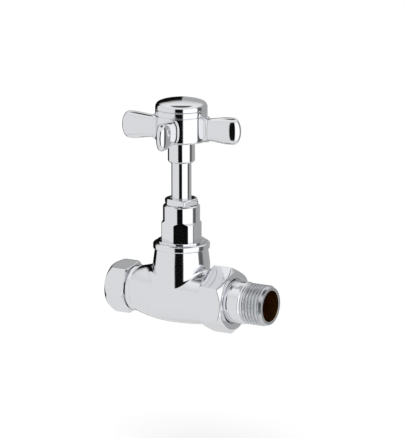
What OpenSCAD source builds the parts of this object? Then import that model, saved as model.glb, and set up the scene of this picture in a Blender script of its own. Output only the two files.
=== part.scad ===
// Straight radiator valve with a cross handle, for 15 mm pipe.
// Origin: where the pipe axis crosses the spindle axis. +X leads to the radiator, +Z up the spindle.
// Closed at rest: the rubber washer stands on the seat.

/* [Body] */
// Distance from the spindle axis to the shoulder behind the pipe nut
inlet_reach = 27.3; // [25:0.1:40]
// Distance from the spindle axis to the shoulder behind the union nut
outlet_reach = 17.6; // [16:0.1:28]
// Largest radius of the forged belly
belly_r = 14.9; // [14.7:0.1:18]
// How far the fullest point of the belly lies towards the pipe
belly_shift = 3; // [0:0.1:5]
// Radius of the body at the shoulder behind the pipe nut
inlet_neck_r = 11.8; // [11.4:0.1:14]
// Radius of the body at the shoulder behind the union nut
outlet_neck_r = 13.5; // [13.4:0.1:14.4]
// Length of the turned ring behind the pipe nut
shoulder_ring = 3.3; // [2:0.1:5]
// Height of the neck's top face above the pipe axis
neck_top = 27.4; // [26:0.1:40]
// Radius of the neck where it leaves the belly
neck_r = 14.6; // [14:0.1:14.6]
// Radius of the neck just under its collar
neck_waist_r = 13.6; // [13.2:0.1:14]
// Radius of the collar round the top of the neck
collar_r = 14.5; // [14:0.1:17]
// Height of the collar
collar_h = 3.3; // [2:0.1:5]

/* [Pipe joint] */
// Outside diameter of the pipe
pipe_d = 15; // [12:0.1:15.4]
// Depth of the pipe socket from its mouth
socket_depth = 15.5; // [12:0.1:20]
// Outside diameter of the thread under the pipe nut
pipe_thread_d = 20.955; // [20.9:0.005:22]
// Length of the thread under the pipe nut
pipe_thread_len = 7.7; // [6:0.1:10]
// Size of the pipe nut across its flats
pipe_nut_af = 24; // [23.6:0.1:30]
// Length of the pipe nut
pipe_nut_len = 11.7; // [11:0.1:16]
// Turn of the pipe nut about its axis in degrees
pipe_nut_turn = 20; // [0:1:60]

/* [Union joint] */
// Outside diameter of the thread under the union nut
union_thread_d = 26.44; // [26:0.01:26.6]
// Length of the thread under the union nut
union_thread_len = 8.3; // [7:0.1:12]
// Size of the union nut across its flats
union_nut_af = 30; // [29.6:0.1:36]
// Thickness of the union nut's inner lip
union_lip = 2.8; // [2:0.1:4]
// Thickness of the flat seal ring
union_seal_t = 1.3; // [1:0.1:2.5]
// Thickness of the tail's flange
tail_flange_t = 1.8; // [1.5:0.1:3]
// Radius of the tail's smooth barrel
tail_barrel_r = 10.8; // [10.6:0.1:11.4]
// Outside diameter of the tail's thread
tail_thread_d = 20.955; // [20:0.005:21.1]
// Length of the tail's thread
tail_thread_len = 10; // [8:0.1:14]
// Distance from the tail's flange to its free end
tail_reach = 23.8; // [21:0.1:34]
// Radius of the round bore in the tail
tail_bore_r = 8; // [7.2:0.1:8.4]
// Size of the tail's inner hexagon across its flats
tail_key_af = 12; // [10:0.1:13]

/* [Headwork] */
// Size of the bonnet hexagon across its flats
bonnet_af = 19; // [18.6:0.1:20]
// Radius to which the hexagon's corners are turned
bonnet_corner_r = 10.25; // [10:0.05:10.6]
// Height of the hexagon
bonnet_hex_h = 8.8; // [7:0.1:14]
// Radius of the bonnet's round upper part
bonnet_top_r = 9.45; // [9:0.05:9.6]
// Height of the bonnet's round upper part, with the shoulder below it
bonnet_top_h = 9.5; // [9:0.1:14]
// Size of the gland nut across its flats
gland_af = 16; // [15.5:0.1:17]
// Height of the gland nut's head
gland_h = 3.2; // [2.5:0.1:5]
// Turn of the gland nut about the spindle in degrees
gland_turn = 9; // [0:1:60]
// Radius of the chromed spindle
spindle_r = 5.1; // [4.6:0.05:5.3]
// Length of spindle that shows between the gland nut and the handle
spindle_show = 18.6; // [12:0.1:30]
// Lift of the spindle from closed to fully open
lift = 6; // [4:0.1:6.4]

/* [Waterway] */
// Radius of the hole in the seat
seat_r = 5; // [4:0.1:5.4]
// Height of the seat's face above the pipe axis
seat_z = 2; // [1.8:0.1:2.6]
// Radius of the chamber round the jumper
chamber_r = 8.6; // [8.2:0.1:9]
// Radius of the bore behind the pipe socket
inlet_r = 6.3; // [5.5:0.1:6.8]
// Radius of the bore behind the union seal
outlet_r = 6.5; // [5.5:0.1:7]

/* [Handle] */
// Distance from the spindle axis to the tip of an arm
arm_reach = 32; // [28:0.1:42]
// Height of an arm where it leaves its root
arm_root_h = 11.6; // [9:0.1:12.4]
// Height of an arm at its flare
arm_flare_h = 13.8; // [12:0.1:17]
// Thickness of an arm at its flare
arm_flare_t = 6.6; // [5:0.1:9]
// Turn of the handle about the spindle in degrees
handle_turn = 11.4; // [0:0.1:90]
// Radius of the hub
hub_r = 13.3; // [12.6:0.1:16]
// Height of the hub from its underside to the cap
hub_h = 16.3; // [15:0.1:20]
// Radius of the boss below the hub
boss_r = 6.9; // [6.4:0.1:8.5]
// Height of the boss below the hub
boss_h = 11; // [8:0.1:16]
// Height of the cap above the hub
cap_h = 5.7; // [4.8:0.1:8]

/* [Hidden] */
$fn = 96;

// Clearances, all radial or face to face
thread_gap = 0.07;
running_gap = 0.05;
face_gap = 0.1;
free_gap = 0.3;
eps = 0.01;

// Pipe joint: distances run outward from the spindle axis, along -X
pipe_thread_r = pipe_thread_d / 2;
socket_r = pipe_d / 2 + 0.15;
mouth_x = inlet_reach + pipe_thread_len;
mouth_r = socket_r + 1.6;
mouth_slope = tan(30);
mouth_depth = (mouth_r - socket_r) / mouth_slope;
socket_end = mouth_x - socket_depth;
pipe_nut_x = inlet_reach + 0.5;
pipe_nut_end = pipe_nut_x + pipe_nut_len;
nut_hole_r = socket_r + 0.1;
nut_wall = 1.9;
nut_cone_end = pipe_nut_end - nut_wall;
nut_cone_r = mouth_r + 0.2;
olive_r = pipe_d / 2 + 0.05;
olive_wall = 1.05;
olive_edge = 0.3;
olive_start = mouth_x - mouth_depth + free_gap + 0.45;
olive_end = nut_cone_end - 0.4;

// Union joint: distances run outward from the spindle axis, along +X
union_thread_r = union_thread_d / 2;
outlet_face = outlet_reach + union_thread_len;
seal_end = outlet_face + union_seal_t;
flange_end = seal_end + tail_flange_t;
tail_end = seal_end + tail_reach + tail_flange_t;
flange_r = union_thread_r - 0.3;
union_nut_x = outlet_reach + 0.4;
lip_x = flange_end + 0.15;
union_nut_end = lip_x + union_lip;
tail_collar_r = tail_barrel_r + 0.1;
lip_r = tail_collar_r + free_gap;
tail_thread_r = tail_thread_d / 2;
tail_thread_x = tail_end - 1.8 - tail_thread_len;
key_end = tail_thread_x - 3;

// Headwork: heights above the pipe axis
neck_thread_r = 10.4;
chamber_floor = seat_z - 1;
seat_web = 2;
neck_thread_z = 14;
spigot_z = 15.1;
flange_h = 1.1;
bonnet_flange_r = 12.4;
hex_z = neck_top + flange_h;
shoulder_z = hex_z + bonnet_hex_h;
shoulder_h = 1.2;
bonnet_top = shoulder_z + bonnet_top_h;
gland_bore_r = 7.5;
gland_bore_z = bonnet_top - 8.8;
packing_h = 4;
gland_washer_h = 1.2;
gland_seat = bonnet_top + 0.2;
gland_top = gland_seat + gland_h;
spindle_thread_r = 6;
spindle_foot = seat_z + 6.1;
spindle_thread_top = spindle_foot + 18.9;
boss_z = gland_top + spindle_show;
hub_z = boss_z + boss_h;
hub_top = hub_z + hub_h;
cap_top = hub_top + cap_h;

// Jumper and its washer
washer_t = 3;
washer_r = seat_r + 1.85;
jumper_r = washer_r + 0.45;
jumper_z = seat_z + washer_t;
jumper_head_h = 3;
stem_r = 3.5;
stem_top = jumper_z + 10;
stud_r = 1.5;
clip_z = jumper_z + 6.5;
clip_h = 0.8;

// Handle fixing
spline_r = 4;
spline_root_r = 3.6;
spline_teeth = 20;
spline_h = 9;
spline_z = hub_z - 0.1;
spline_top = spline_z + spline_h;
screw_r = 2;
web_z = spline_top + 0.5;
web_h = 2.3;
recess_z = web_z + web_h;
recess_r = 9;
cap_wall = 1.3;
screw_head_r = 3.9;
screw_head_h = 2.3;
spring_h = 0.8;

// Arms
arm_z = hub_z + 6.6;
root_reach = hub_r + 1.4;
root_h = 13.2;
root_t = 7.2;
arm_root_t = 5.8;
arm_start = 10;
flare_tip = 4;
plan_tip = 6.5;

brass = "goldenrod";
chrome = "gainsboro";
rubber = "dimgray";

// Turns what is drawn upright so that its top points along the pipe
module to_pipe() { rotate([0, -90, 0]) children(); }

// Turns what is drawn upright so that its top points at the radiator
module to_radiator() { rotate([0, 90, 0]) children(); }

// A turned piece from the points (radius, height) of half its section
module turned(points) { rotate_extrude() polygon(points); }

// A plain round bore or bar between two heights
module bar(r, z0, z1) { translate([0, 0, z0]) cylinder(r = r, h = z1 - z0); }

// A bar with a chamfered edge at each end
module chamfered_bar(r, z0, z1, low, high) {
    turned([[0, z0], [r - low, z0], [r, z0 + low], [r, z1 - high], [r - high, z1], [0, z1]]);
}

// A round passage between two points of the XZ plane
module passage(a, b, r) {
    run = b - a;
    translate([a[0], 0, a[1]])
        rotate([0, atan2(run[0], run[1]), 0])
            cylinder(r = r, h = norm(run));
}

// A hexagon bar whose corners are turned off at both ends, as on a nut
module hexagon(af, z0, z1, low, high) {
    corner = af / 2 / cos(30);
    face = af / 2 - 0.3;
    intersection() {
        translate([0, 0, z0]) cylinder(r = corner, h = z1 - z0, $fn = 6);
        turned([[0, z0], [face, z0], [corner, z0 + low], [corner, z1 - high], [face, z1], [0, z1]]);
    }
}

// Half section of the belly: two wide arcs that meet at its fullest point
module belly_section() {
    inlet_run = inlet_reach - shoulder_ring - belly_shift;
    inlet_drop = belly_r - inlet_neck_r;
    inlet_arc = (inlet_run * inlet_run + inlet_drop * inlet_drop) / (2 * inlet_drop);
    outlet_run = outlet_reach + belly_shift;
    outlet_drop = belly_r - outlet_neck_r;
    outlet_arc = (outlet_run * outlet_run + outlet_drop * outlet_drop) / (2 * outlet_drop);
    intersection() {
        translate([belly_r - inlet_arc, -belly_shift]) circle(r = inlet_arc);
        translate([0, -belly_shift - inlet_run]) square([belly_r, inlet_run + eps]);
    }
    intersection() {
        translate([belly_r - outlet_arc, -belly_shift]) circle(r = outlet_arc);
        translate([0, -belly_shift]) square([belly_r, outlet_run]);
    }
}

// Forged outside of the body, with both turned ends
module body_outside() {
    flare_z = neck_top * 0.6;
    to_radiator() rotate_extrude() belly_section();
    to_pipe() {
        chamfered_bar(inlet_neck_r, inlet_reach - shoulder_ring + 0.4, inlet_reach, 0.3, 0.5);
        bar(inlet_neck_r - 0.5, inlet_reach - shoulder_ring - 1, inlet_reach - 1);
        chamfered_bar(pipe_thread_r, inlet_reach - 1, mouth_x, 0, 0.7);
    }
    to_radiator() chamfered_bar(union_thread_r, outlet_reach - 1, outlet_face, 0, 0.8);
    turned([[0, 0], [neck_r, 0], [neck_r, flare_z], [neck_waist_r, neck_top - collar_h],
            [collar_r - 0.4, neck_top - collar_h], [collar_r, neck_top - collar_h + 0.4],
            [collar_r, neck_top - 0.6], [collar_r - 0.6, neck_top], [0, neck_top]]);
}

// Everything cored or drilled out of the body
module body_waterway() {
    inlet_core = chamber_r + 3.4;
    outlet_core = chamber_r + 1.9;
    low_r = seat_r + 0.6;
    low_z = -belly_r + 3.6;
    to_pipe() {
        bar(socket_r, socket_end, mouth_x + eps);
        turned([[0, mouth_x - mouth_depth], [socket_r, mouth_x - mouth_depth],
                [mouth_r, mouth_x], [mouth_r, mouth_x + 1], [0, mouth_x + 1]]);
        bar(inlet_r, inlet_core, socket_end + eps);
    }
    passage([-inlet_core - 2.5, -3.2], [0, low_z + 4.5], 4.3);
    bar(low_r, low_z, seat_z - 1 - seat_web);
    bar(seat_r, low_z, seat_z + eps);
    difference() {
        bar(chamber_r, chamber_floor, neck_thread_z + eps);
        bar(seat_r + 1.2, chamber_floor - 1, seat_z);
    }
    passage([outlet_core + 2, seat_z + 1], [3, seat_z + 5], 4.4);
    to_radiator() bar(outlet_r, outlet_core, outlet_face + eps);
    bar(neck_thread_r, neck_thread_z, neck_top + eps);
    bar(bonnet_flange_r - 0.5, neck_top - 1.6, neck_top + eps);
}

module valve_body() {
    color(chrome)
    difference() {
        body_outside();
        body_waterway();
    }
}

// Nut whose taper squeezes the olive onto the pipe
module compression_nut() {
    color(chrome)
    to_pipe() difference() {
        rotate([0, 0, pipe_nut_turn])
            hexagon(pipe_nut_af, pipe_nut_x, pipe_nut_end, 0.8, 2.6);
        bar(nut_hole_r, pipe_nut_x - 1, pipe_nut_end + 1);
        turned([[0, pipe_nut_x - 1], [pipe_thread_r + thread_gap, pipe_nut_x - 1],
                [pipe_thread_r + thread_gap, mouth_x + 0.8], [nut_cone_r, mouth_x + 0.8],
                [nut_hole_r, nut_cone_end], [0, nut_cone_end]]);
    }
}

module olive() {
    crown = olive_r + olive_wall;
    edge = olive_r + olive_edge;
    slope = (olive_end - olive_start) * 0.3;
    color(brass)
    to_pipe() turned([[olive_r, olive_start], [edge, olive_start], [crown, olive_start + slope],
                      [crown, olive_end - slope], [edge, olive_end], [olive_r, olive_end]]);
}

// Nut that draws the tail's flange onto the body
module union_nut() {
    bore_r = union_thread_r + thread_gap;
    color(chrome)
    to_radiator() difference() {
        hexagon(union_nut_af, union_nut_x, union_nut_end, 1.6, 2.2);
        bar(bore_r, union_nut_x - 1, lip_x);
        bar(lip_r, union_nut_x - 1, union_nut_end + 1);
        turned([[0, union_nut_end - 0.8], [lip_r, union_nut_end - 0.8],
                [lip_r + 0.8, union_nut_end], [lip_r + 0.8, union_nut_end + 1],
                [0, union_nut_end + 1]]);
    }
}

// Tail: flange, barrel and thread, with a hexagon for the fitter's key behind the round bore
module union_tail() {
    collar_end = union_nut_end + 1;
    key_corner = tail_key_af / 2 / cos(30);
    color(chrome)
    to_radiator() difference() {
        union() {
            chamfered_bar(flange_r, seal_end, flange_end, 0.3, 0.3);
            bar(tail_collar_r, flange_end - eps, collar_end);
            turned([[0, collar_end - eps], [tail_collar_r, collar_end - eps],
                    [tail_barrel_r, collar_end + 1], [tail_barrel_r, tail_thread_x - 1.6],
                    [tail_thread_r - 0.5, tail_thread_x - 1], [tail_thread_r - 0.5, tail_thread_x],
                    [0, tail_thread_x]]);
            bar(tail_thread_r, tail_thread_x - eps, tail_end - 1.8);
            turned([[0, tail_end - 1.8 - eps], [tail_thread_r - 0.2, tail_end - 1.8 - eps],
                    [tail_thread_r - 0.5, tail_end - 1.2], [tail_thread_r - 0.9, tail_end],
                    [0, tail_end]]);
        }
        bar(tail_bore_r, key_end, tail_end + 1);
        translate([0, 0, seal_end - 1])
            cylinder(r = key_corner, h = key_end - seal_end + 2, $fn = 6);
    }
}

module union_seal() {
    color(rubber)
    to_radiator() difference() {
        bar(flange_r - 0.3, outlet_face, seal_end);
        bar(outlet_r + 1.5, outlet_face - 1, seal_end + 1);
    }
}

// Headwork body: spigot in the neck, flange, turned hexagon, shoulder and round top
module bonnet() {
    color(chrome)
    difference() {
        union() {
            chamfered_bar(neck_thread_r - thread_gap, spigot_z, neck_top + eps, 0.6, 0);
            chamfered_bar(bonnet_flange_r, neck_top, hex_z, 0, 0.3);
            intersection() {
                translate([0, 0, hex_z - eps])
                    rotate([0, 0, 30])
                        cylinder(r = bonnet_af / 2 / cos(30), h = bonnet_hex_h + shoulder_h, $fn = 6);
                turned([[0, hex_z - eps], [bonnet_corner_r, hex_z - eps],
                        [bonnet_corner_r, shoulder_z], [bonnet_top_r, shoulder_z + shoulder_h],
                        [0, shoulder_z + shoulder_h]]);
            }
            chamfered_bar(bonnet_top_r, shoulder_z, bonnet_top, 0, 0.7);
        }
        bar(spindle_thread_r + thread_gap, spigot_z - 1, gland_bore_z - 4);
        bar(spindle_r + free_gap, gland_bore_z - 5, gland_bore_z + 1);
        bar(gland_bore_r, gland_bore_z, bonnet_top + 1);
    }
}

module bonnet_seal() {
    color(rubber)
    difference() {
        chamfered_bar(bonnet_flange_r - 0.55, neck_top - 1.6, neck_top, 0.3, 0.3);
        bar(neck_thread_r, neck_top - 3, neck_top + 1);
    }
}

module gland_packing() {
    color("ivory")
    difference() {
        bar(gland_bore_r - running_gap, gland_bore_z, gland_bore_z + packing_h);
        bar(spindle_r + running_gap, gland_bore_z - 1, gland_bore_z + packing_h + 1);
    }
}

module gland_washer() {
    low = gland_bore_z + packing_h;
    color(brass)
    difference() {
        bar(gland_bore_r - running_gap, low, low + gland_washer_h);
        bar(spindle_r + face_gap, low - 1, low + gland_washer_h + 1);
    }
}

// Gland nut: threaded spigot that presses the washer, and a hexagon head
module gland_nut() {
    foot = gland_bore_z + packing_h + gland_washer_h;
    color(chrome)
    difference() {
        union() {
            chamfered_bar(gland_bore_r - thread_gap, foot, gland_seat + eps, 0.4, 0);
            rotate([0, 0, gland_turn]) hexagon(gland_af, gland_seat, gland_top, 0.4, 1.1);
        }
        bar(spindle_r + face_gap, foot - 1, gland_top + 1);
    }
}

// Section of the splines, with one flat-topped tooth for each division
function spline_points(grow) = [
    for (tooth = [0 : spline_teeth - 1])
        for (step = [[-5, spline_root_r], [-2.5, spline_r], [2.5, spline_r], [5, spline_root_r]])
            let (turn = tooth * 360 / spline_teeth + step[0], r = step[1] + grow)
                [r * cos(turn), r * sin(turn)]
];

module spindle() {
    color(chrome)
    difference() {
        union() {
            chamfered_bar(spindle_thread_r, spindle_foot, spindle_thread_top, 0.6, 0.9);
            bar(spindle_r, spindle_thread_top - 0.9, spline_z);
            translate([0, 0, spline_z - eps]) linear_extrude(spline_h) polygon(spline_points(0));
        }
        bar(stem_r + running_gap, spindle_foot - 1, stem_top + 0.6);
        bar(stem_r + 0.6, clip_z - face_gap, clip_z + clip_h + face_gap);
        bar(screw_r, spline_top - 12, spline_top + 1);
    }
}

// Disc holder: cup for the rubber washer, stud below, stem that turns in the spindle
module jumper() {
    color(brass)
    difference() {
        union() {
            chamfered_bar(jumper_r, jumper_z - 1.6, jumper_z + jumper_head_h, 0.2, 0.4);
            bar(stem_r, jumper_z, stem_top);
            bar(stud_r, jumper_z - 5.6, jumper_z);
        }
        difference() {
            bar(washer_r + running_gap, jumper_z - 3, jumper_z);
            bar(stud_r, jumper_z - 6, jumper_z + 1);
        }
        difference() {
            bar(stem_r + 1, clip_z, clip_z + clip_h);
            bar(stem_r - 0.6, clip_z - 1, clip_z + clip_h + 1);
        }
    }
}

module seat_washer() {
    color(rubber)
    difference() {
        chamfered_bar(washer_r, seat_z, jumper_z, 0.3, 0);
        bar(stud_r + running_gap, seat_z - 1, jumper_z + 1);
    }
}

module washer_nut() {
    color(brass)
    difference() {
        hexagon(5.5, seat_z - 2.2, seat_z, 0.4, 0);
        bar(stud_r + running_gap, seat_z - 3, seat_z + 1);
    }
}

// Snap ring, open at one side, in the grooves of the stem and the spindle
module jumper_clip() {
    color("silver")
    difference() {
        bar(stem_r + 0.5, clip_z + running_gap, clip_z + clip_h - running_gap);
        bar(stem_r - 0.5, clip_z - 1, clip_z + clip_h + 1);
        translate([0, -1.2, clip_z - 1]) cube([2 * stem_r, 2.4, clip_h + 2]);
    }
}

// Half height and half thickness of an arm at a distance from the spindle
function ease(t) = let (s = min(1, max(0, t))) s * s * (3 - 2 * s);
function along_arm(x) = (x - root_reach) / (arm_reach - plan_tip - root_reach);
function rounded(x, start, size) = x < start ? 1 : sqrt(max(0, 1 - pow((x - start) / size, 2)));
function arm_half_h(x) = (arm_root_h + (arm_flare_h - arm_root_h) * ease(along_arm(x))) / 2
    * rounded(x, arm_reach - flare_tip, flare_tip + 0.02);
function arm_half_t(x) = (arm_root_t + (arm_flare_t - arm_root_t) * ease(along_arm(x))) / 2
    * rounded(x, arm_reach - plan_tip, plan_tip + 0.02);

// One oval ring of an arm: flat flanks with well rounded top and bottom
function oval(x, half_h, half_t, count) = [
    for (i = [0 : count - 1])
        let (turn = 360 * i / count, c = cos(turn), s = sin(turn))
            [x, half_t * sign(c) * pow(abs(c), 0.8), half_h * sign(s) * pow(abs(s), 0.8)]
];

// Closed skin through a row of rings that have equal numbers of points
module lofted(rings) {
    count = len(rings[0]);
    last = len(rings) - 1;
    polyhedron(
        points = [for (ring = rings) each ring],
        faces = concat(
            [[for (i = [0 : count - 1]) i]],
            [for (k = [0 : last - 1]) for (i = [0 : count - 1])
                let (a = k * count + i, b = k * count + (i + 1) % count)
                    [a, a + count, b + count, b]],
            [[for (i = [count - 1 : -1 : 0]) last * count + i]]
        )
    );
}

// One arm with its raised root, drawn along +X
module arm() {
    count = 24;
    root = [[arm_start, 0], [root_reach - 0.5, 0], [root_reach - 0.15, 0.15], [root_reach, 0.5]];
    free = arm_reach - root_reach;
    steps = [0.001, 0.12, 0.25, 0.38, 0.5, 0.62, 0.72, 0.8, 0.86, 0.91, 0.95, 0.98, 0.995, 1];
    lofted(concat(
        [for (p = root) oval(p[0], root_h / 2 - p[1], root_t / 2 - p[1], count)],
        [for (t = steps) let (x = root_reach + free * t) oval(x, arm_half_h(x), arm_half_t(x), count)]
    ));
}

// Hub, boss and four arms in one casting, splined below and hollow above
module crosshead() {
    groove_z = hub_top - 3;
    color(chrome)
    difference() {
        union() {
            chamfered_bar(boss_r, boss_z, hub_z + 1, 1, 0);
            turned([[0, hub_z], [hub_r - 0.8, hub_z], [hub_r, hub_z + 0.8],
                    [hub_r, groove_z - 0.3], [hub_r - 0.35, groove_z], [hub_r, groove_z + 0.3],
                    [hub_r, hub_top - 0.3], [hub_r - 0.3, hub_top], [0, hub_top]]);
            for (i = [0 : 3])
                rotate([0, 0, handle_turn + 90 * i]) translate([0, 0, arm_z]) arm();
        }
        bar(spindle_r + running_gap, boss_z - 1, spline_z);
        translate([0, 0, spline_z - 1])
            linear_extrude(web_z - spline_z + 1) polygon(spline_points(0.08));
        bar(screw_r + 0.2, web_z - 1, recess_z + 1);
        bar(recess_r, recess_z, hub_top + 1);
    }
}

module spring_washer() {
    color("silver")
    difference() {
        bar(screw_head_r, recess_z, recess_z + spring_h);
        bar(screw_r + 0.2, recess_z - 1, recess_z + spring_h + 1);
        translate([0, -0.4, recess_z - 1]) cube([2 * screw_head_r, 0.8, spring_h + 2]);
    }
}

// Cross-slotted screw down the middle of the splines
module handle_screw() {
    seat = recess_z + spring_h;
    head_top = seat + screw_head_h;
    color("silver")
    difference() {
        union() {
            bar(screw_r - running_gap, spline_top - 9, seat + eps);
            chamfered_bar(screw_head_r, seat, head_top, 0, 0.8);
        }
        for (turn = [0, 90])
            rotate([0, 0, turn])
                translate([-2.2, -0.45, head_top - 1.3]) cube([4.4, 0.9, 2]);
    }
}

// Domed cap: thin shell with a skirt that plugs the hub
module cap() {
    shoulder = 3;
    crown_r = hub_r - shoulder + 0.7;
    crown_h = cap_h - 4.1;
    crown_arc = (crown_r * crown_r + crown_h * crown_h) / (2 * crown_h);
    skirt_z = recess_z + 1;
    hollow_r = recess_r - 0.1 - cap_wall;
    shoulder_z0 = cap_top - crown_h - shoulder;
    color(chrome)
    difference() {
        union() {
            turned([[0, hub_top + 0.05], [hub_r - 0.2, hub_top + 0.05], [hub_r, hub_top + 0.25],
                    [hub_r, shoulder_z0], [0, shoulder_z0]]);
            rotate_extrude() intersection() {
                union() {
                    translate([hub_r - shoulder, shoulder_z0]) circle(r = shoulder);
                    square([hub_r - shoulder, cap_top]);
                }
                translate([0, cap_top - crown_arc]) circle(r = crown_arc);
                translate([0, shoulder_z0 - eps]) square([hub_r, cap_h]);
            }
            bar(recess_r - 0.1, skirt_z, hub_top + 1);
        }
        bar(hollow_r, skirt_z - 1, cap_top - crown_h - cap_wall);
    }
}

valve_body();
compression_nut();
olive();
union_nut();
union_tail();
union_seal();
bonnet();
bonnet_seal();
gland_packing();
gland_washer();
gland_nut();
spindle();
jumper();
seat_washer();
washer_nut();
jumper_clip();
crosshead();
spring_washer();
handle_screw();
cap();
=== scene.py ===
import math

import bmesh
import bpy
import numpy as np
from mathutils import Matrix, Vector


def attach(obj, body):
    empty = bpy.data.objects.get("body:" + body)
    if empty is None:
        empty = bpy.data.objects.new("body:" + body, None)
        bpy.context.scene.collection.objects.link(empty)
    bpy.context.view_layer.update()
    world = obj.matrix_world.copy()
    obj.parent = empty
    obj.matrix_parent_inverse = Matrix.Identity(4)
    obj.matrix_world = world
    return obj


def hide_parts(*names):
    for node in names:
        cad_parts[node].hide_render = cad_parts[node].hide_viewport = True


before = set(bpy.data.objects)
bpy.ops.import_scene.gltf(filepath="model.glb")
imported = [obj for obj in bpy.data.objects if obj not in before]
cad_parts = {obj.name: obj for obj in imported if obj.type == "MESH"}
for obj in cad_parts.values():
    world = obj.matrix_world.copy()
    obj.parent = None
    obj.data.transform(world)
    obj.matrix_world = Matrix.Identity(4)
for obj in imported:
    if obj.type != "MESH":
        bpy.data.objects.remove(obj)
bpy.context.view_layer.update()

# ---------------------------------------------------------------------------------------------
# Valve body: one hot brass forging, a wide belly round the pipe axis with the neck grown out of
# it. Its ends, thread rings and collar are turned, the outside is polished and chrome plated,
# and the waterway is bored out of the solid, so its walls stay bare brass.
# ---------------------------------------------------------------------------------------------
MM = 0.001
FULL = 2 * math.pi
TO_PIPE = Matrix.Rotation(-math.pi / 2, 4, "Y")
TO_RADIATOR = Matrix.Rotation(math.pi / 2, 4, "Y")


def linear(code):
    """Linear colour of an sRGB hex code."""
    parts = [int(code[i:i + 2], 16) / 255 for i in (1, 3, 5)]
    return [p / 12.92 if p <= 0.04045 else ((p + 0.055) / 1.055) ** 2.4 for p in parts] + [1.0]


def add(tree, kind, **values):
    """A node with its sockets set (underscores for spaces), or linked where a value is a socket."""
    node = tree.nodes.new(kind)
    for key, value in values.items():
        name = key.replace("_", " ")
        if hasattr(node, key) and key not in ("inputs", "outputs"):
            setattr(node, key, value)
        elif isinstance(value, bpy.types.NodeSocket):
            tree.links.new(value, node.inputs[int(key[1:]) if key[1:].isdigit() else name])
        else:
            node.inputs[int(key[1:]) if key[1:].isdigit() else name].default_value = value
    return node


def finish_named(name, colour, **sockets):
    """A material with a single Principled shader; returns material, tree and shader."""
    material = bpy.data.materials.new(name)
    material.use_nodes = True
    tree = material.node_tree
    shader = tree.nodes["Principled BSDF"]
    shader.inputs["Base Color"].default_value = linear(colour)
    for key, value in sockets.items():
        shader.inputs[key.replace("_", " ")].default_value = value
    return material, tree, shader


def waves(tree, size_mm, height_mm, detail=1.0, stretch=(1, 1, 1)):
    """Bump of soft lumps about size_mm across and height_mm high, fixed to the part itself."""
    place = add(tree, "ShaderNodeTexCoord")
    scaled = add(tree, "ShaderNodeVectorMath", operation="MULTIPLY", _0=place.outputs["Object"],
                 _1=stretch)
    noise = add(tree, "ShaderNodeTexNoise", Vector=scaled.outputs[0], Scale=1 / (size_mm * MM),
                Detail=detail, Roughness=0.5)
    return add(tree, "ShaderNodeBump", Strength=1.0, Distance=height_mm * MM,
               Height=noise.outputs["Fac"])


def outline(points, ring, fine=None):
    """Wire of a half section given as (radius, height, rounding) in mm, cut into short steps."""
    bm = bmesh.new()
    corners = [bm.verts.new((p[0] * MM, 0, p[1] * MM)) for p in points]
    for a, b in zip(corners, corners[1:] + corners[:1]):
        if a.co.x > 0 or b.co.x > 0:
            bm.edges.new((a, b))
    for size in sorted({p[2] for p in points if len(p) > 2}):
        soft = [v for v, p in zip(corners, points) if len(p) > 2 and p[2] == size]
        bmesh.ops.bevel(bm, geom=soft, offset=size * MM, offset_type="OFFSET",
                        affect="VERTICES", segments=4, profile=0.5, material=-1)
    for edge in bm.edges[:]:
        height = sum(v.co.z for v in edge.verts) / 2 / MM
        step = fine[2] if fine and fine[0] < height < fine[1] else ring
        cuts = math.ceil(edge.calc_length() / (step * MM)) - 1
        if cuts > 0:
            bmesh.ops.subdivide_edges(bm, edges=[edge], cuts=cuts)
    return bm


def turned(points, ring=1.0, steps=192, fine=None, turn=None):
    """Mesh of a turned part: the half section spun once round Z, then swung onto its own axis."""
    bm = outline(points, ring, fine)
    bmesh.ops.spin(bm, geom=bm.verts[:] + bm.edges[:], cent=(0, 0, 0), axis=(0, 0, 1),
                   angle=FULL, steps=steps, use_merge=True)
    bmesh.ops.remove_doubles(bm, verts=bm.verts, dist=1e-6)
    bmesh.ops.recalc_face_normals(bm, faces=bm.faces)
    if turn is not None:
        bm.transform(turn)
    mesh = bpy.data.meshes.new("turned")
    bm.to_mesh(mesh)
    bm.free()
    return mesh


def places(mesh):
    """Vertex places of a mesh in mm."""
    flat = np.empty(len(mesh.vertices) * 3, np.float32)
    mesh.vertices.foreach_get("co", flat)
    return flat.reshape(-1, 3).astype(float) / MM


def moved(mesh, shift, turn=None):
    """The mesh with its vertices moved by shift, which takes and gives places in mm."""
    if turn is not None:
        mesh.transform(turn.inverted())
    mesh.vertices.foreach_set("co", (shift(places(mesh)) * MM).astype(np.float32).ravel())
    if turn is not None:
        mesh.transform(turn)
    mesh.update()
    return mesh


def smooth_min(a, b, k):
    """The smaller of two lengths, with the change-over rounded within k."""
    h = np.maximum(k - np.abs(a - b), 0) / k
    return np.minimum(a, b) - h * h * k / 4


def thread(crest, start, end, pitch=1.814, depth=1.05, taper=0.0):
    """Shift that rolls a right-hand thread into a wall of radius crest between two heights."""
    def shift(p):
        radius, angle = np.hypot(p[:, 0], p[:, 1]), np.arctan2(p[:, 1], p[:, 0])
        wave = 0.5 - 0.5 * np.cos(FULL * (p[:, 2] - start) / pitch - angle)
        wave = wave * wave * (3 - 2 * wave)
        fade = np.clip((p[:, 2] - start) / 0.9, 0, 1) * np.clip((end - p[:, 2]) / 0.5, 0, 1)
        fade = fade * (radius > crest - 0.9)
        new = radius - fade * depth * wave
        new -= taper * np.clip((p[:, 2] - start) / (end - start), 0, 1) * (radius > crest - 0.9)
        scale = (new / np.maximum(radius, 1e-6))[:, None]
        return np.column_stack([p[:, :2] * scale, p[:, 2]])
    return shift


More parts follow.
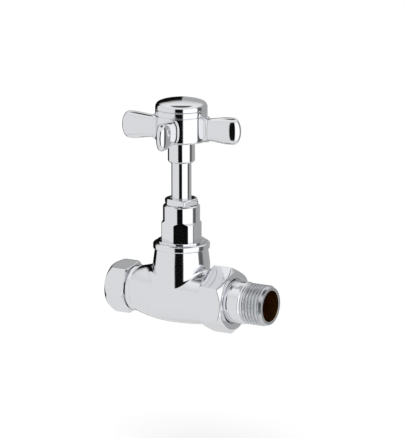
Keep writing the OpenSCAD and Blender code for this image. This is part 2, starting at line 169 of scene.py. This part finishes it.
def combined(mesh, others, operation):
    """The mesh with the other meshes joined to it or cut out of it."""
    scene = bpy.context.scene.collection
    made = [bpy.data.objects.new("work", m) for m in [mesh] + others]
    for obj in made:
        scene.objects.link(obj)
    for tool in made[1:]:
        step = made[0].modifiers.new("step", "BOOLEAN")
        step.operation, step.solver, step.object = operation, "MANIFOLD", tool
    depsgraph = bpy.context.evaluated_depsgraph_get()
    result = bpy.data.meshes.new_from_object(made[0].evaluated_get(depsgraph))
    for obj in made:
        data = obj.data
        bpy.data.objects.remove(obj)
        bpy.data.meshes.remove(data)
    return result


def passage(start, end, radius):
    """Round bar between two points of the XZ plane, in mm."""
    a, b = Vector((start[0], 0, start[1])), Vector((end[0], 0, end[1]))
    bm = bmesh.new()
    bmesh.ops.create_cone(bm, cap_ends=True, segments=64, radius1=radius * MM,
                          radius2=radius * MM, depth=(b - a).length * MM)
    bm.transform(Matrix.Translation((a + b) / 2 * MM)
                 @ (b - a).to_track_quat("Z", "X").to_matrix().to_4x4())
    mesh = bpy.data.meshes.new("passage")
    bm.to_mesh(mesh)
    bm.free()
    return mesh


def piece(name, mesh, body, finishes, nodes, sharp=32):
    """Puts a finished mesh into the scene as the stand-in for its CAD nodes."""
    mesh.shade_smooth()
    mesh.set_sharp_from_angle(angle=math.radians(sharp))
    mesh.materials.clear()
    for finish in finishes:
        mesh.materials.append(finish)
    mesh.name = name
    obj = bpy.data.objects.new(name, mesh)
    bpy.context.scene.collection.objects.link(obj)
    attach(obj, body)
    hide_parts(*nodes)
    return obj


# Chrome over a polished forging: nearly a mirror, with the faint unevenness that hand polishing
# leaves, so that long reflections waver a little.
forged_chrome, tree, shader = finish_named(
    "chrome_on_polished_forging", "#E4E5E8", Metallic=1.0, Roughness=0.075)
uneven = waves(tree, 9, 0.010)
tree.links.new(uneven.outputs["Normal"], shader.inputs["Normal"])

# Bare brass as the drill leaves it: yellow, satin, with rings from the tool.
bored_brass, tree, shader = finish_named(
    "bored_brass", "#A9834A", Metallic=1.0, Roughness=0.34)
rings = waves(tree, 0.5, 0.02, stretch=(1, 0.05, 0.05))
tree.links.new(rings.outputs["Normal"], shader.inputs["Normal"])

PIPE_THREAD_R = 10.4775
UNION_THREAD_R = 13.22
BELLY_R = 14.9
BELLY_SHIFT = 3.0
BELLY_LOW = -24.0
BELLY_HIGH = 17.6


def belly_radius(x):
    """Radius of the belly round the pipe axis at x: two wide arcs."""
    run = x + BELLY_SHIFT
    arc = np.where(run < 0, 72.68, 152.26)
    return BELLY_R - arc + np.sqrt(np.maximum(arc * arc - run * run, 0))


def neck_radius(z):
    """Radius of the neck, drawn in a little towards the collar."""
    return 14.6 - np.clip((z - 16.4) / 7.7, 0, 1)


def body_gap(p):
    """Distance of a point from the forging: belly and neck run into each other, softly towards
    the pipe and more tightly towards the union nut."""
    low = np.minimum(p[:, 2], 0) * 1.6
    belly = np.hypot(p[:, 1], p[:, 2]) - belly_radius(p[:, 0])
    neck = np.sqrt(p[:, 0] ** 2 + p[:, 1] ** 2 + low * low) - neck_radius(p[:, 2])
    across = np.hypot(p[:, 0], p[:, 1]) * np.hypot(p[:, 1], p[:, 2]) + 1e-9
    square = 1 - np.clip(p[:, 1] ** 2 / across, 0, 1)
    side = np.clip((p[:, 0] + 10) / 14, 0, 1)
    reach = 4.6 + (1.3 - 4.6) * side * side * (3 - 2 * side)
    return smooth_min(belly, neck, 0.25 + reach * square)


def slope(p, gap, step=0.01):
    """Direction in which the gap grows fastest."""
    parts = []
    for axis in range(3):
        off = np.zeros(3)
        off[axis] = step
        parts.append((gap(p + off) - gap(p - off)) / (2 * step))
    return np.column_stack(parts)


arc_x = np.linspace(BELLY_LOW, BELLY_HIGH, 60)
belly_side = [(float(belly_radius(x)), float(x)) for x in arc_x]
pipe_axis_part = turned(
    [(0, -34.99), (PIPE_THREAD_R - 0.7, -35.0, 0.15), (PIPE_THREAD_R, -34.3, 0.15),
     (PIPE_THREAD_R, -27.3), (11.3, -27.3, 0.15), (11.8, -26.8, 0.15), (11.8, -24.7, 0.1),
     (11.35, -24.35), (11.35, -24.15)] + belly_side +
    [(UNION_THREAD_R, 17.6), (UNION_THREAD_R, 25.1, 0.15), (UNION_THREAD_R - 0.8, 25.9, 0.15),
     (0, 25.9)], ring=0.75, steps=240, fine=(-35.2, -27.2, 0.14), turn=TO_RADIATOR)
moved(pipe_axis_part, thread(PIPE_THREAD_R, 27.9, 35.4), TO_PIPE)
moved(pipe_axis_part, thread(UNION_THREAD_R, 17.9, 26.2), TO_RADIATOR)
neck_part = turned(
    [(0, 0.01), (14.6, 0)] + [(14.6, z) for z in np.linspace(0.7, 16.4, 24)] +
    [(13.6, 24.1), (14.1, 24.1, 0.1), (14.5, 24.5, 0.15), (14.5, 26.8, 0.2), (13.9, 27.4, 0.2),
     (0, 27.4)], ring=0.75, steps=240)
body = combined(pipe_axis_part, [neck_part], "UNION")


def soften_crease(mesh):
    """Refines the mesh along the crease of belly and neck and lays it on the soft run-out."""
    bm = bmesh.new()
    bm.from_mesh(mesh)
    for limit in (0.8, 0.45):
        co = np.array([v.co for v in bm.verts]) / MM
        belly = np.hypot(co[:, 1], co[:, 2]) - belly_radius(co[:, 0])
        neck = np.hypot(co[:, 0], co[:, 1]) - neck_radius(co[:, 2])
        near = (np.maximum(np.abs(belly), np.abs(neck)) < 1.6) & (co[:, 2] > -2)
        near &= (co[:, 2] < 23) & (co[:, 0] > -20) & (co[:, 0] < 17)
        bm.verts.ensure_lookup_table()
        chosen = [e for e in bm.edges if near[e.verts[0].index] and near[e.verts[1].index]
                  and e.calc_length() > limit * MM]
        bmesh.ops.subdivide_edges(bm, edges=chosen, cuts=1)
        bmesh.ops.triangulate(bm, faces=[f for f in bm.faces if len(f.verts) > 4])
        bm.verts.index_update()
    bm.to_mesh(mesh)
    bm.free()

    def on_forging(p):
        inside = (p[:, 0] > -23.4) & (p[:, 0] < 17) & (p[:, 2] < 23.6)
        near = inside & (np.abs(np.minimum(
            np.hypot(p[:, 1], p[:, 2]) - belly_radius(p[:, 0]),
            np.sqrt(p[:, 0] ** 2 + p[:, 1] ** 2 + (np.minimum(p[:, 2], 0) * 1.6) ** 2)
            - neck_radius(p[:, 2]))) < 0.02)
        for _ in range(5):
            grad = slope(p[near], body_gap)
            size = np.maximum((grad * grad).sum(1), 1e-9)
            p[near] -= grad * (body_gap(p[near]) / size)[:, None]
        return p
    return moved(mesh, on_forging)


body = soften_crease(body)
waterway = [
    turned([(0, -36), (10.25, -36), (9.25, -35.0), (7.65, -32.23, 0.1), (7.65, -19.5),
            (6.3, -19.5, 0.1), (6.3, -12), (0, -12)], ring=4, steps=96, turn=TO_RADIATOR),
    turned([(0, 10.5), (6.5, 10.5), (6.5, 26.5), (0, 26.5)], ring=4, steps=96, turn=TO_RADIATOR),
    turned([(0, 1), (6.2, 1), (6.2, 2.0), (8.6, 2.0), (8.6, 14), (10.4, 14), (10.4, 25.8),
            (11.9, 25.8), (11.9, 28), (0, 28)], ring=4, steps=96),
    turned([(0, -11.3), (5.6, -11.3), (5.6, -1), (5, -1), (5, 2.1), (0, 2.1)], ring=4, steps=96),
    passage((-14.5, -3.2), (0, -6.8), 4.3),
    passage((12.5, 3), (3, 7), 4.4),
]
body = combined(body, waterway, "DIFFERENCE")
body_piece = piece("valve_body_chromed", body, "valve",
                   [forged_chrome, bored_brass], ["valve_body"], sharp=38)
flat = np.empty(len(body.polygons) * 3, np.float32)
body.polygons.foreach_get("center", flat)
centre = flat.reshape(-1, 3) / MM
body.polygons.foreach_get("normal", flat)
facing = flat.reshape(-1, 3)
bore_x = (np.hypot(centre[:, 1], centre[:, 2]) < 10.3) & (np.abs(centre[:, 0]) < 35.2)
bore_z = (np.hypot(centre[:, 0], centre[:, 1]) < 12.2) & (centre[:, 2] > 0)
inward = (centre[:, 1] * facing[:, 1] + centre[:, 2] * facing[:, 2] < -1e-3) & bore_x
inward |= (centre[:, 0] * facing[:, 0] + centre[:, 1] * facing[:, 1] < -1e-3) & bore_z
inward |= bore_x & (np.abs(centre[:, 0]) < 25.5)
body.polygons.foreach_set("material_index", inward.astype(np.int32))

# ---------------------------------------------------------------------------------------------
# Compression nut and olive: the nut is turned from 24 mm hexagon brass bar and chrome plated;
# its taper presses the bare brass olive onto the pipe and into the body's mouth.
# ---------------------------------------------------------------------------------------------


def hexagon(af, turn=0.0, soft=0.35, crowd=0.55):
    """Shift that flattens a round bar to a hexagon, a corner at `turn` degrees, edges softened.
    It first crowds the vertices towards the corners."""
    def shift(p):
        radius, angle = np.hypot(p[:, 0], p[:, 1]), np.arctan2(p[:, 1], p[:, 0])
        angle = angle - math.radians(turn)
        angle = angle - crowd * np.sin(6 * angle) / 6
        part = math.pi / 3
        off = (angle % part) - part / 2
        radius = smooth_min(radius, af / 2 / np.cos(off), soft)
        angle = angle + math.radians(turn)
        return np.column_stack([radius * np.cos(angle), radius * np.sin(angle), p[:, 2]])
    return shift


# Chrome on bright turned bar: a cleaner mirror than the forging's.
bar_chrome, tree, shader = finish_named(
    "chrome_on_turned_bar", "#E4E5E8", Metallic=1.0, Roughness=0.06)
uneven = waves(tree, 5, 0.003)
tree.links.new(uneven.outputs["Normal"], shader.inputs["Normal"])

pipe_nut = turned(
    [(10.548, 27.8), (13.557 - 1.6, 27.8), (13.857, 28.6, 0.3), (13.857, 36.9, 0.6),
     (11.7, 39.5, 0.3), (7.85, 39.5, 0.3), (7.75, 37.6), (9.45, 35.8), (10.548, 35.8)],
    ring=0.3, steps=240)
moved(pipe_nut, hexagon(24, turn=20))
pipe_nut.transform(TO_PIPE)
piece("compression_nut_chromed", pipe_nut, "pipe_nut", [bar_chrome],
      ["compression_nut"], sharp=40)

# ---------------------------------------------------------------------------------------------
# Union nut: turned from 30 mm hexagon brass bar and chrome plated. Its inner lip draws the
# tail's flange and the seal ring against the body.
# ---------------------------------------------------------------------------------------------
union_nut = turned(
    [(13.29, 18.0), (14.7, 18.0, 0.3), (17.32, 19.6, 0.5), (17.32, 29.75, 0.5),
     (14.7, 31.95, 0.3), (12.0, 31.95, 0.2), (11.2, 31.15, 0.1), (11.2, 29.15), (13.29, 29.15)],
    ring=0.32, steps=288)
moved(union_nut, hexagon(30))
union_nut.transform(TO_RADIATOR)
piece("union_nut_chromed", union_nut, "collar_nut", [bar_chrome], ["union_nut"],
      sharp=40)

# ---------------------------------------------------------------------------------------------
# Union tail: turned brass with a flange behind the union nut, a polished and plated barrel and
# a rolled half-inch thread, bored through, with a hexagon inside for the fitter's key.
# ---------------------------------------------------------------------------------------------
# Plating over a cut thread is duller: it can't be polished in the grooves.
thread_chrome, tree, shader = finish_named(
    "plated_cut_thread", "#C9CBCE", Metallic=1.0, Roughness=0.26)
tree.links.new(waves(tree, 0.6, 0.006).outputs["Normal"], shader.inputs["Normal"])

KEY_CORNER = 6 / math.cos(math.radians(30))
tail = turned(
    [(KEY_CORNER, 27.2), (12.62, 27.2, 0.1), (12.92, 27.5, 0.1), (12.92, 28.7, 0.1),
     (12.62, 29.0, 0.1), (10.9, 29.0), (10.9, 32.9, 0.3), (10.8, 33.9, 0.3), (10.8, 39.4, 0.25),
     (9.98, 40.0, 0.3), (9.98, 40.9), (10.4775, 41.0), (10.4775, 51.0), (10.0, 51.6, 0.2),
     (9.58, 52.8, 0.2), (8.1, 52.8, 0.1), (8.0, 52.6), (8.0, 38.0), (KEY_CORNER, 38.0)],
    ring=0.8, steps=240, fine=(40.9, 51.2, 0.14))
moved(tail, thread(10.4775, 41.0, 51.6))


def key_hexagon(p):
    """Flattens the narrow bore of the tail to the key's hexagon, 12 mm across its flats."""
    radius, angle = np.hypot(p[:, 0], p[:, 1]), np.arctan2(p[:, 1], p[:, 0])
    off = (angle % (math.pi / 3)) - math.pi / 6
    flat = np.where(radius < KEY_CORNER + 0.02, 6 / np.cos(off), radius)
    scale = (flat / radius)[:, None]
    return np.column_stack([p[:, :2] * scale, p[:, 2]])


moved(tail, key_hexagon)
tail.transform(TO_RADIATOR)
tail_piece = piece("union_tail_chromed", tail, "tail",
                   [bar_chrome, thread_chrome, bored_brass], ["union_tail"], sharp=40)
flat = np.empty(len(tail.polygons) * 3, np.float32)
tail.polygons.foreach_get("center", flat)
centre = flat.reshape(-1, 3) / MM
radius = np.hypot(centre[:, 1], centre[:, 2])
kind = np.where(radius < 8.05, 2, np.where(centre[:, 0] > 39.9, 1, 0))
tail.polygons.foreach_set("material_index", kind.astype(np.int32))

# ---------------------------------------------------------------------------------------------
# Bonnet: the headwork's turned brass body, screwed into the neck down to its flange; hexagon
# with its corners turned round, a shoulder and the round top that holds the packing. Plated.
# ---------------------------------------------------------------------------------------------
bonnet = turned(
    [(6.07, 15.1), (9.73, 15.1, 0.1), (10.33, 15.7, 0.1), (10.33, 27.4), (12.4, 27.4, 0.1),
     (12.4, 28.5, 0.25), (10.25, 28.5), (10.25, 37.3, 0.3), (9.45, 38.5, 0.25),
     (9.45, 46.1, 0.25), (8.75, 46.8, 0.2), (7.5, 46.8), (7.5, 38), (5.4, 38), (5.4, 34),
     (6.07, 34)], ring=0.3, steps=288)


def bonnet_shape(p):
    """Flattens the band of the hexagon only; its corners stay as turned."""
    flat = hexagon(19, turn=30, soft=0.18, crowd=0.0)(p)
    band = ((p[:, 2] > 28.45) & (p[:, 2] < 38.55))[:, None]
    return np.where(band, flat, p)


moved(bonnet, bonnet_shape)
piece("bonnet_chromed", bonnet, "valve", [bar_chrome], ["bonnet"], sharp=40)

# ---------------------------------------------------------------------------------------------
# Gland nut: small plated hexagon nut with a threaded spigot that squeezes the packing.
# ---------------------------------------------------------------------------------------------
gland = turned(
    [(5.2, 43.2), (7.03, 43.2, 0.1), (7.43, 43.6, 0.1), (7.43, 47.0), (7.7, 47.0, 0.1),
     (9.238, 47.4, 0.2), (9.238, 49.1, 0.3), (7.7, 50.2, 0.2), (5.4, 50.2, 0.1), (5.2, 50.0)],
    ring=0.3, steps=192)


def gland_shape(p):
    """Flattens the nut's head and leaves its spigot round."""
    flat = hexagon(16, turn=9, soft=0.25, crowd=0.5)(p)
    return np.where((p[:, 2] > 46.9)[:, None], flat, p)


moved(gland, gland_shape)
piece("gland_nut_chromed", gland, "valve", [bar_chrome], ["gland_nut"], sharp=40)

# ---------------------------------------------------------------------------------------------
# Spindle: 10 mm brass rod, ground and plated where it shows, with the screw thread at its foot
# that lifts it; its end under the handle is drawn plain round, without the splines.
# ---------------------------------------------------------------------------------------------
spindle = turned(
    [(0, 15.6), (3.55, 15.6), (3.55, 8.1), (5.4, 8.1, 0.1), (6.0, 8.7, 0.1), (6.0, 26.1),
     (5.1, 27.0, 0.1), (5.1, 79.7), (4.0, 79.7), (4.0, 88.4, 0.1), (3.7, 88.7), (2.0, 88.7),
     (2.0, 76.7), (0, 76.7)], ring=2.0, steps=128, fine=(8.8, 26, 0.2))
moved(spindle, thread(6.0, 9.2, 26.0, pitch=2.0, depth=0.85))
piece("spindle_chromed", spindle, "handle", [bar_chrome], ["spindle"], sharp=40)

# ---------------------------------------------------------------------------------------------
# Crosshead: one brass casting, a hub with four arms that flare towards their tips, each on a
# raised root, and a boss below. Turned on the hub and boss, polished all over and plated.
# ---------------------------------------------------------------------------------------------
hub = turned(
    [(5.15, 68.8), (6.1, 68.8, 0.2), (6.9, 69.6, 0.2), (6.9, 79.8), (12.5, 79.8, 0.4),
     (13.3, 80.6, 0.4), (13.3, 92.8, 0.06), (12.95, 93.1, 0.06), (13.3, 93.4, 0.06),
     (13.3, 95.8, 0.15), (13.0, 96.1, 0.15), (9.0, 96.1), (9.0, 91.5), (2.2, 91.5), (2.2, 89.2),
     (4.08, 89.2), (4.08, 79.7), (5.15, 79.7)], ring=0.8, steps=192)
ARM_Z = 86.4
ARM_REACH = 32.0
ROOT_REACH = 14.7


def arm_mesh(turn):
    """One arm, drawn along X: a fine tube whose rings are drawn out to oval sections."""
    bm = bmesh.new()
    bmesh.ops.create_cone(bm, cap_ends=True, segments=72, radius1=1, radius2=1, depth=1)
    along = [e for e in bm.edges if abs(e.verts[0].co.z - e.verts[1].co.z) > 0.5]
    bmesh.ops.subdivide_edges(bm, edges=along, cuts=110)
    mesh = bpy.data.meshes.new("arm")
    bm.to_mesh(mesh)
    bm.free()

    def shift(p):
        p = p * MM
        share = p[:, 2] + 0.5
        angle = np.arctan2(p[:, 1], p[:, 0])
        # A third of the rings go to the raised root and its step, the rest to the arm, closer
        # together towards the tip.
        step = 0.36
        root = np.clip(share / step, 0, 1)
        free = np.clip((share - step) / (1 - step), 0, 1)
        turn_in = np.clip((root - 0.35) / 0.45, 0, 1) * math.pi / 2
        x_root = 10 + np.clip(root / 0.35, 0, 1) * (ROOT_REACH - 10 - 0.5) + 0.5 * np.sin(turn_in)
        fall = 0.5 * (1 - np.cos(turn_in)) + np.clip((root - 0.8) / 0.2, 0, 1) * 0.3
        t = 1 - (1 - free) ** 2.4
        x_arm = ROOT_REACH + (ARM_REACH - ROOT_REACH) * t
        ease = np.clip((x_arm - ROOT_REACH) / 10.8, 0, 1)
        ease = ease * ease * (3 - 2 * ease)
        tip_h = np.sqrt(np.clip(1 - (np.maximum(x_arm - 28, 0) / 4.0) ** 2, 0, 1))
        tip_t = np.sqrt(np.clip(1 - (np.maximum(x_arm - 25.5, 0) / 6.5) ** 2, 0, 1))
        on_root = share <= step
        x = np.where(on_root, x_root, x_arm)
        half_h = np.where(on_root, 6.6 - fall, (5.8 + 1.1 * ease) * tip_h)
        half_t = np.where(on_root, 3.6 - fall, (2.9 + 0.4 * ease) * tip_t)
        c, s = np.cos(angle), np.sin(angle)
        y = half_t * np.sign(c) * np.abs(c) ** 0.8
        z = ARM_Z + half_h * np.sign(s) * np.abs(s) ** 0.8
        return np.column_stack([x, y, z])

    moved(mesh, shift)
    mesh.transform(Matrix.Rotation(math.radians(turn), 4, "Z"))
    bm = bmesh.new()
    bm.from_mesh(mesh)
    bmesh.ops.remove_doubles(bm, verts=bm.verts, dist=2e-6)
    bmesh.ops.recalc_face_normals(bm, faces=bm.faces)
    bm.to_mesh(mesh)
    bm.free()
    return mesh


# Chrome over a cast and polished brass handle: the same mirror with soft dips from the buffing.
cast_chrome, tree, shader = finish_named(
    "chrome_on_cast_handle", "#E4E5E8", Metallic=1.0, Roughness=0.07)
tree.links.new(waves(tree, 7, 0.008).outputs["Normal"], shader.inputs["Normal"])

crosshead = combined(hub, [arm_mesh(11.4 + 90 * i) for i in range(4)], "UNION")
piece("crosshead_chromed", crosshead, "handle", [cast_chrome], ["crosshead"], sharp=40)

# ---------------------------------------------------------------------------------------------
# Cap: thin domed brass cover, plated, whose skirt plugs the hub over the screw.
# ---------------------------------------------------------------------------------------------
CROWN_R = 11.0
CROWN_H = 1.6
CROWN_ARC = (CROWN_R ** 2 + CROWN_H ** 2) / (2 * CROWN_H)
crown = [(r, 101.8 - CROWN_ARC + math.sqrt(CROWN_ARC ** 2 - r * r)) for r in np.linspace(0, 10.2, 14)]
shoulder = []
for step in range(1, 13):
    a = math.radians(82 - 82 * step / 12)
    shoulder.append((10.3 + 3 * math.cos(a), 97.2 + 3 * math.sin(a)))
cap = turned(
    [(float(r), float(z)) for r, z in crown] + shoulder +
    [(13.3, 96.35, 0.1), (13.1, 96.15), (8.9, 96.15), (8.9, 92.5), (7.6, 92.5), (7.6, 98.9),
     (0, 98.9)], ring=0.8, steps=192)
piece("cap_chromed", cap, "handle", [cast_chrome], ["cap"], sharp=40)

# ---------------------------------------------------------------------------------------------
# Parts inside: olive, washer and gland ring of bare brass, rubber seals, packing, steel screw.
# Their CAD meshes are shown as they are.
# ---------------------------------------------------------------------------------------------
# Bright turned brass, not plated: clear yellow with a soft sheen.
turned_brass, tree, shader = finish_named("bare_turned_brass", "#C9A25C", Metallic=1.0,
                                          Roughness=0.28)
tree.links.new(waves(tree, 0.4, 0.004).outputs["Normal"], shader.inputs["Normal"])
# Black sealing rubber: matt, a little dusty, with a fine moulded grain.
seal_rubber, tree, shader = finish_named("black_seal_rubber", "#1E1E1F", Roughness=0.72)
tree.links.new(waves(tree, 0.35, 0.02, detail=2.0).outputs["Normal"], shader.inputs["Normal"])
# Off-white PTFE packing: waxy, with the ridges of wound tape.
wound_packing, tree, shader = finish_named("wound_white_packing", "#DAD6CB", Roughness=0.55)
tree.links.new(waves(tree, 0.8, 0.05, stretch=(1, 1, 3)).outputs["Normal"],
               shader.inputs["Normal"])
# Plain stainless steel for the screw and spring washer: grey, satin.
plain_steel, tree, shader = finish_named("plain_stainless_steel", "#B4B6B8", Metallic=1.0,
                                         Roughness=0.32)
tree.links.new(waves(tree, 0.5, 0.005).outputs["Normal"], shader.inputs["Normal"])

for names, slot, finish in (
        (("olive", "gland_washer", "jumper", "washer_nut"), "brass", turned_brass),
        (("union_seal", "bonnet_seal", "seat_washer"), "rubber", seal_rubber),
        (("gland_packing",), "packing", wound_packing),
        (("jumper_clip", "spring_washer", "handle_screw"), "steel", plain_steel)):
    for name in names:
        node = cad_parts[name]
        node.data.materials.clear()
        node.data.materials.append(finish)

# ---------------------------------------------------------------------------------------------
# Floor, studio light and camera: a pale table well below the valve, one large soft lamp above,
# and a studio of white and black screens that only the chrome sees.
# ---------------------------------------------------------------------------------------------
floor_mat, tree, shader = finish_named("pale_table", "#F4F4F4", Roughness=0.9)
path = add(tree, "ShaderNodeLightPath")
glow = add(tree, "ShaderNodeEmission", Strength=path.outputs["Is Camera Ray"])
glow.inputs["Color"].default_value = (0.2, 0.2, 0.2, 1)
both = add(tree, "ShaderNodeAddShader", _0=shader.outputs[0], _1=glow.outputs[0])
tree.links.new(both.outputs[0], tree.nodes["Material Output"].inputs["Surface"])
bm = bmesh.new()
bmesh.ops.create_circle(bm, cap_ends=True, segments=96, radius=0.16)
floor_mesh = bpy.data.meshes.new("floor")
bm.to_mesh(floor_mesh)
bm.free()
floor = bpy.data.objects.new("floor", floor_mesh)
floor.location = (0, 0, -0.09)
floor_mesh.materials.append(floor_mat)
bpy.context.scene.collection.objects.link(floor)

AWAY = Vector((0.5210, -0.8536, 0.0))
RIGHT = Vector((0.8536, 0.5210, 0.0))
world = bpy.data.worlds.new("studio")
bpy.context.scene.world = world
world.use_nodes = True
tree = world.node_tree
tree.nodes.clear()
way = add(tree, "ShaderNodeTexCoord").outputs["Generated"]
to_right = add(tree, "ShaderNodeVectorMath", operation="DOT_PRODUCT", _0=way, _1=RIGHT)
to_front = add(tree, "ShaderNodeVectorMath", operation="DOT_PRODUCT", _0=way, _1=AWAY)
up = add(tree, "ShaderNodeSeparateXYZ", Vector=way).outputs["Z"]
turn = add(tree, "ShaderNodeMath", operation="ARCTAN2", _0=to_right.outputs["Value"],
           _1=to_front.outputs["Value"])
around = add(tree, "ShaderNodeMapRange", Value=turn.outputs[0])
around.inputs["From Min"].default_value = -math.pi
around.inputs["From Max"].default_value = math.pi
screens = add(tree, "ShaderNodeValToRGB", Fac=around.outputs["Result"])


def stops(ramp, values):
    """Fills a colour ramp from (position, grey as seen on screen) pairs."""
    while len(ramp.elements) > 1:
        ramp.elements.remove(ramp.elements[-1])
    for i, (position, tone) in enumerate(values):
        element = ramp.elements[0] if i == 0 else ramp.elements.new(position)
        element.position = position
        code = "#" + 3 * format(min(255, max(0, round(tone * 255))), "02X")
        element.color = linear(code)


def screen_row(tones):
    """Ramp stops for bands of tone round the object: (from degree, tone, edge in degrees)."""
    values = []
    for i, (start, tone, edge) in enumerate(tones):
        if i:
            values.append(((start + edge / 2 + 180) / 360, tone))
        else:
            values.append((0.0, tone))
        if i + 1 < len(tones):
            after = tones[i + 1]
            values.append(((after[0] - after[2] / 2 + 180) / 360, tone))
    return values


stops(screens.color_ramp, screen_row([
    (-180, 0.03, 0), (-128, 0.84, 3), (-28, 0.03, 3), (8, 1.0, 3), (75, 0.35, 5),
    (100, 0.62, 8)]))
rise = add(tree, "ShaderNodeMapRange", Value=up)
rise.inputs["From Min"].default_value = -1
rise.inputs["From Max"].default_value = 1
ceiling = add(tree, "ShaderNodeValToRGB", Fac=rise.outputs["Result"])
stops(ceiling.color_ramp, [(0.0, 0.70), (0.2, 0.80), (0.75, 0.80), (0.93, 0.9), (0.97, 0.3),
                           (1.0, 0.3)])
belt = add(tree, "ShaderNodeValToRGB", Fac=rise.outputs["Result"])
stops(belt.color_ramp, [(0.0, 0.0), (0.12, 0.0), (0.2, 1.0), (0.70, 1.0), (0.78, 0.0),
                        (1.0, 0.0)])
seen = add(tree, "ShaderNodeMixRGB", Fac=belt.outputs["Color"], Color1=ceiling.outputs["Color"],
           Color2=screens.outputs["Color"])
path = add(tree, "ShaderNodeLightPath")
mirror = add(tree, "ShaderNodeBackground", Color=seen.outputs[0], Strength=1.3)
plain = add(tree, "ShaderNodeBackground", Color=(1, 1, 1, 1), Strength=0.75)
white = add(tree, "ShaderNodeBackground", Color=(1, 1, 1, 1), Strength=1.0)
first = add(tree, "ShaderNodeMixShader", Fac=path.outputs["Is Glossy Ray"], _1=plain.outputs[0],
            _2=mirror.outputs[0])
second = add(tree, "ShaderNodeMixShader", Fac=path.outputs["Is Camera Ray"],
             _1=first.outputs[0], _2=white.outputs[0])
out = add(tree, "ShaderNodeOutputWorld", Surface=second.outputs[0])

lamp_data = bpy.data.lights.new("soft_lamp", "AREA")
lamp_data.shape, lamp_data.size, lamp_data.energy = "DISK", 0.8, 4.0
lamp = bpy.data.objects.new("soft_lamp", lamp_data)
lamp.location = (0.2, -0.5, 1.0)
lamp.rotation_euler = (Vector((0, 0, 0.04)) - lamp.location).to_track_quat("-Z", "Y").to_euler()
lamp.visible_glossy = False
bpy.context.scene.collection.objects.link(lamp)

DISTANCE = 2.0
ELEVATION = math.radians(12.5)
target = Vector((0.00505, 0.01273, 0.03717))
back = AWAY * math.cos(ELEVATION) + Vector((0, 0, math.sin(ELEVATION)))
camera_data = bpy.data.cameras.new("camera")
camera_data.sensor_width = 36
camera_data.lens = 36 * DISTANCE / 0.2238
camera_data.clip_start, camera_data.clip_end = 0.01, 20
camera = bpy.data.objects.new("camera", camera_data)
camera.location = target + back * DISTANCE
camera.rotation_euler = (-back).to_track_quat("-Z", "Y").to_euler()
bpy.context.scene.collection.objects.link(camera)
bpy.context.scene.camera = camera
bpy.context.scene.view_settings.view_transform = "Standard"
